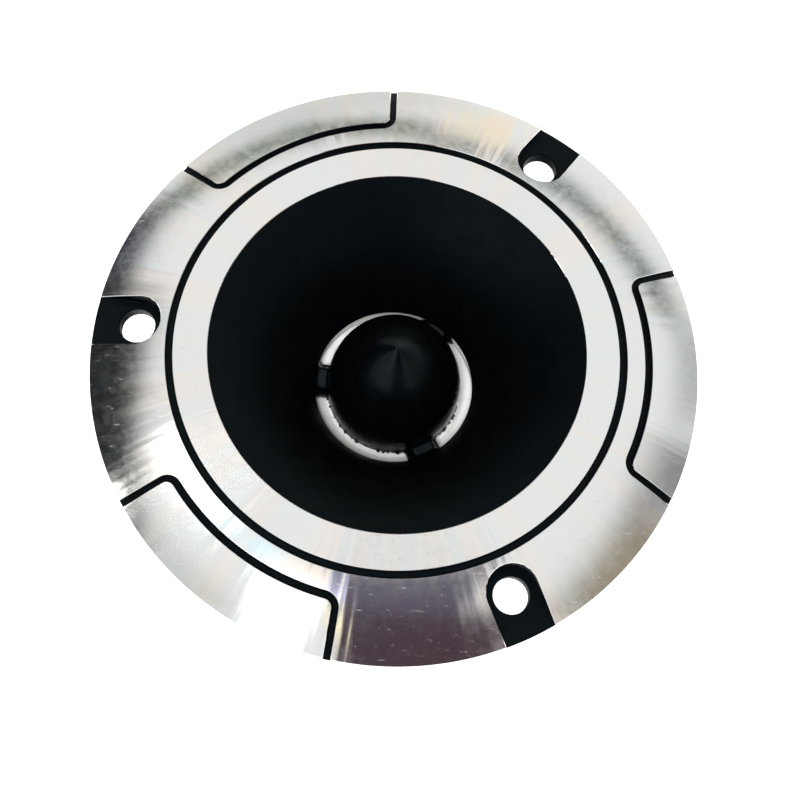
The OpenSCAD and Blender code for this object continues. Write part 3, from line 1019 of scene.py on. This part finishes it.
def felt():
    """Matted grey wool: a fuzzy, lumpy nap with paler and darker fibres."""
    dark, pale = (0.26, 0.25, 0.235), (0.47, 0.46, 0.43)
    mat, nodes, shader = material("felt", (0.4, 0.39, 0.36), roughness=0.95)
    shader.inputs["Sheen Weight"].default_value = 0.4
    nap = nodes.noise(object_coords(nodes), scale=2400.0, detail=6.0, rough=0.75)
    nodes.link(nodes.bump(nap, distance=0.0002, strength=0.9), shader.inputs["Normal"])
    nodes.link(nodes.mix(nodes.ramp(nap, 0.35, 0.65), dark, pale), shader.inputs["Base Color"])
    nodes.link(nodes.ramp(nap, 0.3, 0.7, out_low=0.9, out_high=1.0), shader.inputs["Roughness"])
    return mat


def simple(name, color, roughness, metallic=0.0):
    """A plain material with a fine grain and a quiet mottle."""
    grain, depth, spread = 1500.0, 0.00003, 0.06
    dark = tuple(c * 0.85 for c in color)
    mat, nodes, shader = material(name, color, roughness, metallic)
    coords = object_coords(nodes)
    fine = nodes.noise(coords, grain)
    nodes.link(nodes.bump(fine, depth, strength=0.4), shader.inputs["Normal"])
    uneven = nodes.ramp(fine, 0.3, 0.7, roughness - spread, roughness + spread)
    nodes.link(uneven, shader.inputs["Roughness"])
    mottle = nodes.ramp(nodes.noise(coords, grain / 4, detail=5.0), 0.35, 0.65)
    nodes.link(nodes.mix(mottle, color, dark), shader.inputs["Base Color"])
    return mat


# -------- the object
BRIGHT = turned_aluminium()
BLACK = black_paint("horn_paint", gloss=0.14, smoothest=0.42, roughest=0.58)
PLUG_BLACK = black_paint("plug_paint", gloss=0.26, smoothest=0.24, roughest=0.38)
FILM = surround_film()

horn = build_horn()
horn.data.materials.append(BRIGHT)
horn.data.materials.append(BLACK)
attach(horn, "chassis")
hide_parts("horn_flange")

plug = build_plug()
plug.data.materials.clear()
plug.data.materials.append(PLUG_BLACK)
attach(plug, "chassis")
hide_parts("phase_plug")

for piece, angle, inner_r, outer_r, low in build_surround():
    piece.data.materials.append(FILM)
    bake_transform(piece)
    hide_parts("surround")

# Looks of the nodes that keep their CAD meshes
LOOKS = {
    "throat_gasket": simple("gasket", (0.05, 0.05, 0.052), roughness=0.8),
    "dome": simple("titanium", (0.55, 0.55, 0.57), roughness=0.3, metallic=1.0),
    "coil_former": simple("former_film", (0.45, 0.25, 0.08), roughness=0.35),
    "voice_coil": stranded_copper(),
    "diaphragm_ring": simple("moulded_plastic", (0.02, 0.02, 0.022), roughness=0.5),
    "terminal_positive": simple("tinned_brass", (0.75, 0.72, 0.64), roughness=0.3, metallic=1.0),
    "ring_magnet": ferrite(),
    "top_plate": zinc_plate(),
    "felt_pad": felt(),
    "motor_screws": simple("black_steel", (0.03, 0.03, 0.032), roughness=0.4),
    "solder_joints": simple("solder", (0.65, 0.66, 0.67), roughness=0.25, metallic=1.0),
}
SAME_LOOK = {
    "lead_wire_positive": "voice_coil", "lead_wire_negative": "voice_coil",
    "terminal_negative": "terminal_positive", "terminal_rivets": "terminal_positive",
    "back_plate": "top_plate", "pole_piece": "top_plate", "lock_washers": "top_plate",
}
for name, node in frame["nodes"].items():
    look = LOOKS.get(SAME_LOOK.get(name, name))
    if look:
        node.data.materials.clear()
        node.data.materials.append(look)


# -------- studio
WHITE = (1.0, 1.0, 1.0)


def build_floor():
    """A plain pale floor just under the part, which is clear when seen from below."""
    size, gap, glow = 3.0, 0.02, 0.35
    z = back_low.z - gap * MM
    mesh = bpy.data.meshes.new("floor")
    corners = [(-size, -size, z), (size, -size, z), (size, size, z), (-size, size, z)]
    mesh.from_pydata(corners, [], [(0, 1, 2, 3)])
    floor = make_object("floor", mesh)
    mat, nodes, shader = material("floor", (0.93, 0.93, 0.92), roughness=0.6)
    shader.inputs["Emission Color"].default_value = (*WHITE, 1.0)
    shader.inputs["Emission Strength"].default_value = glow
    clear = nodes.add("ShaderNodeBsdfTransparent")
    one_side = nodes.add("ShaderNodeMixShader")
    nodes.link(nodes.add("ShaderNodeNewGeometry").outputs["Backfacing"], one_side.inputs[0])
    nodes.link(shader.outputs[0], one_side.inputs[1])
    nodes.link(clear.outputs[0], one_side.inputs[2])
    nodes.link(one_side.outputs[0], mat.node_tree.nodes["Material Output"].inputs[0])
    mesh.materials.append(mat)


# The studio is a sphere of soft light with cards in it. A card is placed on the map of the sky seen
# from the object. Its values are its middle, in degrees away from straight up towards +X and +Y, its
# half sizes in degrees, its turn, how soft its edge is, and its colour.
CARDS = [
    ("window_bar_right", (36, 43.5), (17, 4.5), -28, 0.5, (0.06, 0.08, 0.07)),
    ("window_bar_middle", (13, 49.5), (12, 4), -4, 0.5, (0.05, 0.07, 0.06)),
    ("window_bar_back", (-10, 56.5), (12, 5), 0, 0.5, (0.08, 0.1, 0.07)),
    ("window_bar_left", (-34, 52), (17, 5), 22, 0.5, (0.1, 0.12, 0.07)),
    ("slat_right", (9.8, 50), (1.2, 12), -10, 0.3, (0.85, 0.82, 0.78)),
    ("slat_left", (-12.3, 50), (1.0, 6), 14, 0.3, (0.8, 0.82, 0.82)),
    ("cream_wall", (10.5, 65), (5.5, 10), -9, 0.15, (0.93, 0.84, 0.68)),
    ("back_low", (-24, 76), (30, 9), 14, 0.5, (0.68, 0.68, 0.66)),
    ("front_left_low", (-41, -29), (14, 8), -45, 0.6, (0.6, 0.6, 0.58)),
    ("right_grey_far", (62, 26), (10, 12), 0, 0.7, (0.45, 0.45, 0.45)),
    ("left_upper_dark", (-62, 38), (15, 14), -12, 0.4, (0.01, 0.012, 0.03)),
    ("left_dark", (-65, 1), (22.5, 30), -18, 0.22, (0.004, 0.006, 0.008)),
    ("left_lamp", (-58, -17), (4, 4), 0, 0.5, (4.5, 4.5, 4.4)),
    ("front_dark_near", (5.2, -14), (10.2, 12), 0, 0.12, (0.11, 0.1, 0.14)),
    ("front_dark_far", (12.9, -50), (18.2, 27), 0, 0.1, (0.065, 0.04, 0.055)),
    ("right_front", (54, -20), (16, 16), -20, 0.5, (0.3, 0.25, 0.18)),
    ("right_grey", (64, 2), (18, 8), 0, 0.6, (0.25, 0.25, 0.26)),
    ("side_window", (-24, -0.2), (4, 6.6), 46, 0.3, (6.0, 6.0, 5.9)),
    ("fringe_pink", (-20.8, -5.6), (1.2, 6), 52, 0.4, (2.2, 1.1, 1.4)),
    ("fringe_cyan", (-18.2, -7.4), (1.2, 6), 52, 0.4, (0.7, 1.5, 1.8)),
    ("front_window", (-15.5, -29), (6.5, 14), -17, 0.2, (1.9, 1.9, 1.86)),
    ("fringe_warm", (-8.5, -13.5), (4, 2), -17, 0.4, (1.3, 1.0, 0.75)),
    ("fringe_violet", (-4.6, -15), (0.6, 5), 4, 0.4, (0.7, 0.75, 1.4)),
    ("fringe_yellow", (-5.2, -28), (0.6, 9), 4, 0.4, (1.7, 1.55, 1.0)),
]
SKY = (0.885, 0.88, 0.865)


def sky_map(nodes):
    """Where a direction is on the map of the sky."""
    on_axis = 1e-5
    direction = nodes.add("ShaderNodeTexCoord").outputs["Generated"]
    x, y, z, flat = nodes.polar(direction)
    down = nodes.math("MULTIPLY", nodes.math("ARCTAN2", flat, z), 180 / math.pi)
    scale = nodes.math("DIVIDE", down, nodes.math("MAXIMUM", flat, on_axis))
    spot = nodes.add("ShaderNodeCombineXYZ")
    nodes.link(nodes.math("MULTIPLY", x, scale), spot.inputs[0])
    nodes.link(nodes.math("MULTIPLY", y, scale), spot.inputs[1])
    return spot.outputs[0]


def card_mask(nodes, spot, name, middle, half, angle, soft):
    """1 on a card, easing to 0 over its soft edge."""
    place = nodes.add("ShaderNodeMapping", vector_type="TEXTURE", label=name)
    place.inputs["Location"].default_value = (*middle, 0)
    place.inputs["Rotation"].default_value = (0, 0, math.radians(angle))
    place.inputs["Scale"].default_value = (*half, 1)
    nodes.link(spot, place.inputs[0])
    parts = nodes.add("ShaderNodeSeparateXYZ")
    nodes.link(place.outputs[0], parts.inputs[0])
    across = nodes.math("ABSOLUTE", parts.outputs[0])
    along = nodes.math("ABSOLUTE", parts.outputs[1])
    return nodes.ramp(nodes.math("MAXIMUM", across, along), 1 + soft, 1 - soft)


def build_studio():
    """The sky that lights the part and that its face mirrors; the camera itself sees plain white."""
    world = bpy.data.worlds.new("studio")
    bpy.context.scene.world = world
    world.use_nodes = True
    nodes = Nodes(world.node_tree)
    background = world.node_tree.nodes["Background"]
    spot = sky_map(nodes)
    color = SKY
    for name, middle, half, angle, soft, shade in CARDS:
        color = nodes.mix(card_mask(nodes, spot, name, middle, half, angle, soft), color, shade)
    path = nodes.add("ShaderNodeLightPath")
    color = nodes.mix(path.outputs["Is Camera Ray"], color, WHITE)
    nodes.link(color, background.inputs["Color"])
    background.inputs["Strength"].default_value = 1.0


def build_overhead():
    """A soft light from above and in front, for the inside of the horn; the face doesn't mirror it."""
    size, energy, away = 0.5, 21.0, 1.2
    lean, around = math.radians(24), math.radians(258)
    data = bpy.data.lights.new("overhead", "AREA")
    data.shape = "DISK"
    data.size = size
    data.energy = energy
    light = make_object("overhead", data)
    place = Vector((math.sin(lean) * math.cos(around), math.sin(lean) * math.sin(around), math.cos(lean)))
    light.location = place * away
    light.rotation_euler = place.to_track_quat("Z", "Y").to_euler()
    light.visible_glossy = False


def build_camera():
    """The photograph's view: about 70 degrees up, rolled a little, from about 170 mm away."""
    tilt, roll, spin = math.radians(17.24), math.radians(7.92), math.radians(-1.8)
    place = Vector((-0.24, -57.85, 159.83 + RIM_T))
    sensor, lens, clip_start = 36.0, 44.6, 0.005
    right = Vector((1, 0, 0))
    up = Vector((0, math.cos(tilt), math.sin(tilt)))
    back = Vector((0, -math.sin(tilt), math.cos(tilt)))
    across = math.cos(roll) * right + math.sin(roll) * up
    upward = -math.sin(roll) * right + math.cos(roll) * up
    turn_z = Matrix.Rotation(spin, 4, "Z")
    basis = Matrix((across, upward, back)).transposed().to_4x4()
    data = bpy.data.cameras.new("camera")
    data.sensor_width = sensor
    data.lens = lens
    data.clip_start = clip_start
    camera = make_object("camera", data)
    camera.matrix_world = Matrix.Translation(place * MM) @ turn_z @ basis
    bpy.context.scene.camera = camera


build_floor()
build_studio()
build_overhead()
build_camera()
bpy.context.scene.view_settings.view_transform = "Standard"
